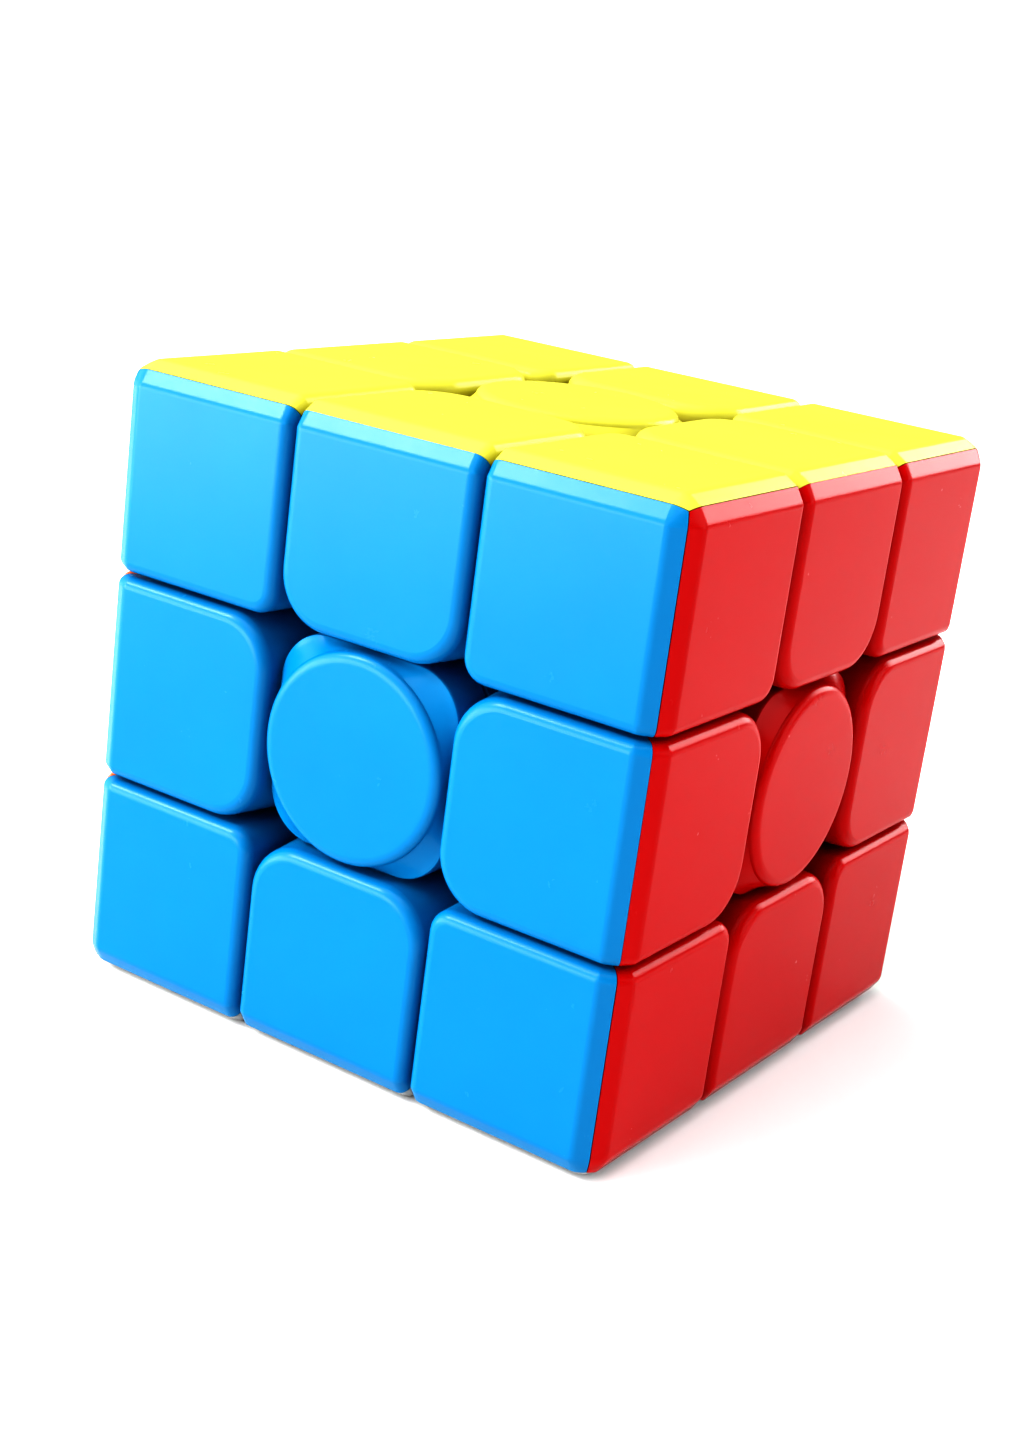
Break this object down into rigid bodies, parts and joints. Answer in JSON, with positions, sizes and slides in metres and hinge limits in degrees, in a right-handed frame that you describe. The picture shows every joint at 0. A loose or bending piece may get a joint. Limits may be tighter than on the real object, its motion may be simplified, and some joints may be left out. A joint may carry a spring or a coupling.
{
  "type": "twisty puzzle cube",
  "caption": "Stickerless twisty puzzle cube with round centre caps: sprung centres on a core hold hollow two-colour edges and three-colour corners by hooked feet, and every face turns.",
  "frame": {"origin": "the middle of the cube, where the six turning axes cross", "axes": "+Z out of the yellow face (up), -Y out of the blue face (front), +X out of the red face (right)"},
  "size_m": [0.056, 0.056, 0.056],
  "materials": {
    "yellow_plastic": "moulded yellow ABS, smooth semi-gloss",
    "white_plastic": "moulded white ABS, smooth semi-gloss",
    "blue_plastic": "moulded blue ABS, smooth semi-gloss",
    "green_plastic": "moulded green ABS, smooth semi-gloss",
    "orange_plastic": "moulded orange ABS, smooth semi-gloss",
    "red_plastic": "moulded red ABS, smooth semi-gloss",
    "core_plastic": "dark moulded nylon, matte",
    "screw_steel": "zinc-plated steel",
    "spring_steel": "bright spring wire"
  },
  "bodies": {
    "core": {"core": "core_plastic", "top_tension_screw": "screw_steel", "top_tension_spring": "spring_steel", "bottom_tension_screw": "screw_steel", "bottom_tension_spring": "spring_steel", "front_tension_screw": "screw_steel", "front_tension_spring": "spring_steel", "back_tension_screw": "screw_steel", "back_tension_spring": "spring_steel", "left_tension_screw": "screw_steel", "left_tension_spring": "spring_steel", "right_tension_screw": "screw_steel", "right_tension_spring": "spring_steel"},
    "top_centre": {"top_centre_cap_yellow": "yellow_plastic", "top_centre_hub": "yellow_plastic"},
    "bottom_centre": {"bottom_centre_cap_white": "white_plastic", "bottom_centre_hub": "white_plastic"},
    "front_centre": {"front_centre_cap_blue": "blue_plastic", "front_centre_hub": "blue_plastic"},
    "back_centre": {"back_centre_cap_green": "green_plastic", "back_centre_hub": "green_plastic"},
    "left_centre": {"left_centre_cap_orange": "orange_plastic", "left_centre_hub": "orange_plastic"},
    "right_centre": {"right_centre_cap_red": "red_plastic", "right_centre_hub": "red_plastic"},
    "top_front_edge": {"top_front_edge_yellow": "yellow_plastic", "top_front_edge_blue": "blue_plastic"},
    "top_back_edge": {"top_back_edge_yellow": "yellow_plastic", "top_back_edge_green": "green_plastic"},
    "top_left_edge": {"top_left_edge_yellow": "yellow_plastic", "top_left_edge_orange": "orange_plastic"},
    "top_right_edge": {"top_right_edge_yellow": "yellow_plastic", "top_right_edge_red": "red_plastic"},
    "bottom_front_edge": {"bottom_front_edge_white": "white_plastic", "bottom_front_edge_blue": "blue_plastic"},
    "bottom_back_edge": {"bottom_back_edge_white": "white_plastic", "bottom_back_edge_green": "green_plastic"},
    "bottom_left_edge": {"bottom_left_edge_white": "white_plastic", "bottom_left_edge_orange": "orange_plastic"},
    "bottom_right_edge": {"bottom_right_edge_white": "white_plastic", "bottom_right_edge_red": "red_plastic"},
    "front_left_edge": {"front_left_edge_blue": "blue_plastic", "front_left_edge_orange": "orange_plastic"},
    "front_right_edge": {"front_right_edge_blue": "blue_plastic", "front_right_edge_red": "red_plastic"},
    "back_left_edge": {"back_left_edge_green": "green_plastic", "back_left_edge_orange": "orange_plastic"},
    "back_right_edge": {"back_right_edge_green": "green_plastic", "back_right_edge_red": "red_plastic"},
    "top_front_left_corner": {"top_front_left_corner": "yellow_plastic"},
    "top_front_right_corner": {"top_front_right_corner": "yellow_plastic"},
    "top_back_left_corner": {"top_back_left_corner": "yellow_plastic"},
    "top_back_right_corner": {"top_back_right_corner": "yellow_plastic"},
    "bottom_front_left_corner": {"bottom_front_left_corner": "white_plastic"},
    "bottom_front_right_corner": {"bottom_front_right_corner": "white_plastic"},
    "bottom_back_left_corner": {"bottom_back_left_corner": "white_plastic"},
    "bottom_back_right_corner": {"bottom_back_right_corner": "white_plastic"}
  },
  "joints": [
    {"name": "top_turn", "type": "hinge", "parent": "core", "child": "top_centre", "pos_m": [0, 0, 0], "axis": [0, 0, 1], "range_deg": [-180, 180]},
    {"name": "bottom_turn", "type": "hinge", "parent": "core", "child": "bottom_centre", "pos_m": [0, 0, 0], "axis": [0, 0, -1], "range_deg": [-180, 180]},
    {"name": "front_turn", "type": "hinge", "parent": "core", "child": "front_centre", "pos_m": [0, 0, 0], "axis": [0, -1, 0], "range_deg": [-180, 180]},
    {"name": "back_turn", "type": "hinge", "parent": "core", "child": "back_centre", "pos_m": [0, 0, 0], "axis": [0, 1, 0], "range_deg": [-180, 180]},
    {"name": "left_turn", "type": "hinge", "parent": "core", "child": "left_centre", "pos_m": [0, 0, 0], "axis": [-1, 0, 0], "range_deg": [-180, 180]},
    {"name": "right_turn", "type": "hinge", "parent": "core", "child": "right_centre", "pos_m": [0, 0, 0], "axis": [1, 0, 0], "range_deg": [-180, 180]},
    {"name": "top_front_edge_with_front", "type": "hinge", "parent": "top_centre", "child": "top_front_edge", "pos_m": [0, 0, 0], "axis": [0, -1, 0], "range_deg": [-180, 180]},
    {"name": "top_back_edge_with_back", "type": "hinge", "parent": "top_centre", "child": "top_back_edge", "pos_m": [0, 0, 0], "axis": [0, 1, 0], "range_deg": [-180, 180]},
    {"name": "top_left_edge_with_left", "type": "hinge", "parent": "top_centre", "child": "top_left_edge", "pos_m": [0, 0, 0], "axis": [-1, 0, 0], "range_deg": [-180, 180]},
    {"name": "top_right_edge_with_right", "type": "hinge", "parent": "top_centre", "child": "top_right_edge", "pos_m": [0, 0, 0], "axis": [1, 0, 0], "range_deg": [-180, 180]},
    {"name": "bottom_front_edge_with_front", "type": "hinge", "parent": "bottom_centre", "child": "bottom_front_edge", "pos_m": [0, 0, 0], "axis": [0, -1, 0], "range_deg": [-180, 180]},
    {"name": "bottom_back_edge_with_back", "type": "hinge", "parent": "bottom_centre", "child": "bottom_back_edge", "pos_m": [0, 0, 0], "axis": [0, 1, 0], "range_deg": [-180, 180]},
    {"name": "bottom_left_edge_with_left", "type": "hinge", "parent": "bottom_centre", "child": "bottom_left_edge", "pos_m": [0, 0, 0], "axis": [-1, 0, 0], "range_deg": [-180, 180]},
    {"name": "bottom_right_edge_with_right", "type": "hinge", "parent": "bottom_centre", "child": "bottom_right_edge", "pos_m": [0, 0, 0], "axis": [1, 0, 0], "range_deg": [-180, 180]},
    {"name": "front_left_edge_with_left", "type": "hinge", "parent": "front_centre", "child": "front_left_edge", "pos_m": [0, 0, 0], "axis": [-1, 0, 0], "range_deg": [-180, 180]},
    {"name": "front_right_edge_with_right", "type": "hinge", "parent": "front_centre", "child": "front_right_edge", "pos_m": [0, 0, 0], "axis": [1, 0, 0], "range_deg": [-180, 180]},
    {"name": "back_left_edge_with_left", "type": "hinge", "parent": "back_centre", "child": "back_left_edge", "pos_m": [0, 0, 0], "axis": [-1, 0, 0], "range_deg": [-180, 180]},
    {"name": "back_right_edge_with_right", "type": "hinge", "parent": "back_centre", "child": "back_right_edge", "pos_m": [0, 0, 0], "axis": [1, 0, 0], "range_deg": [-180, 180]},
    {"name": "top_front_left_corner_with_left", "type": "hinge", "parent": "top_front_edge", "child": "top_front_left_corner", "pos_m": [0, 0, 0], "axis": [-1, 0, 0], "range_deg": [-180, 180]},
    {"name": "top_front_right_corner_with_right", "type": "hinge", "parent": "top_front_edge", "child": "top_front_right_corner", "pos_m": [0, 0, 0], "axis": [1, 0, 0], "range_deg": [-180, 180]},
    {"name": "top_back_left_corner_with_left", "type": "hinge", "parent": "top_back_edge", "child": "top_back_left_corner", "pos_m": [0, 0, 0], "axis": [-1, 0, 0], "range_deg": [-180, 180]},
    {"name": "top_back_right_corner_with_right", "type": "hinge", "parent": "top_back_edge", "child": "top_back_right_corner", "pos_m": [0, 0, 0], "axis": [1, 0, 0], "range_deg": [-180, 180]},
    {"name": "bottom_front_left_corner_with_left", "type": "hinge", "parent": "bottom_front_edge", "child": "bottom_front_left_corner", "pos_m": [0, 0, 0], "axis": [-1, 0, 0], "range_deg": [-180, 180]},
    {"name": "bottom_front_right_corner_with_right", "type": "hinge", "parent": "bottom_front_edge", "child": "bottom_front_right_corner", "pos_m": [0, 0, 0], "axis": [1, 0, 0], "range_deg": [-180, 180]},
    {"name": "bottom_back_left_corner_with_left", "type": "hinge", "parent": "bottom_back_edge", "child": "bottom_back_left_corner", "pos_m": [0, 0, 0], "axis": [-1, 0, 0], "range_deg": [-180, 180]},
    {"name": "bottom_back_right_corner_with_right", "type": "hinge", "parent": "bottom_back_edge", "child": "bottom_back_right_corner", "pos_m": [0, 0, 0], "axis": [1, 0, 0], "range_deg": [-180, 180]}
  ],
  "couplings": [
    {"joint": "top_front_edge_with_front", "follows": "front_turn", "ratio": 1},
    {"joint": "top_back_edge_with_back", "follows": "back_turn", "ratio": 1},
    {"joint": "top_left_edge_with_left", "follows": "left_turn", "ratio": 1},
    {"joint": "top_right_edge_with_right", "follows": "right_turn", "ratio": 1},
    {"joint": "bottom_front_edge_with_front", "follows": "front_turn", "ratio": 1},
    {"joint": "bottom_back_edge_with_back", "follows": "back_turn", "ratio": 1},
    {"joint": "bottom_left_edge_with_left", "follows": "left_turn", "ratio": 1},
    {"joint": "bottom_right_edge_with_right", "follows": "right_turn", "ratio": 1},
    {"joint": "front_left_edge_with_left", "follows": "left_turn", "ratio": 1},
    {"joint": "front_right_edge_with_right", "follows": "right_turn", "ratio": 1},
    {"joint": "back_left_edge_with_left", "follows": "left_turn", "ratio": 1},
    {"joint": "back_right_edge_with_right", "follows": "right_turn", "ratio": 1},
    {"joint": "top_front_left_corner_with_left", "follows": "left_turn", "ratio": 1},
    {"joint": "top_front_right_corner_with_right", "follows": "right_turn", "ratio": 1},
    {"joint": "top_back_left_corner_with_left", "follows": "left_turn", "ratio": 1},
    {"joint": "top_back_right_corner_with_right", "follows": "right_turn", "ratio": 1},
    {"joint": "bottom_front_left_corner_with_left", "follows": "left_turn", "ratio": 1},
    {"joint": "bottom_front_right_corner_with_right", "follows": "right_turn", "ratio": 1},
    {"joint": "bottom_back_left_corner_with_left", "follows": "left_turn", "ratio": 1},
    {"joint": "bottom_back_right_corner_with_right", "follows": "right_turn", "ratio": 1}
  ]
}
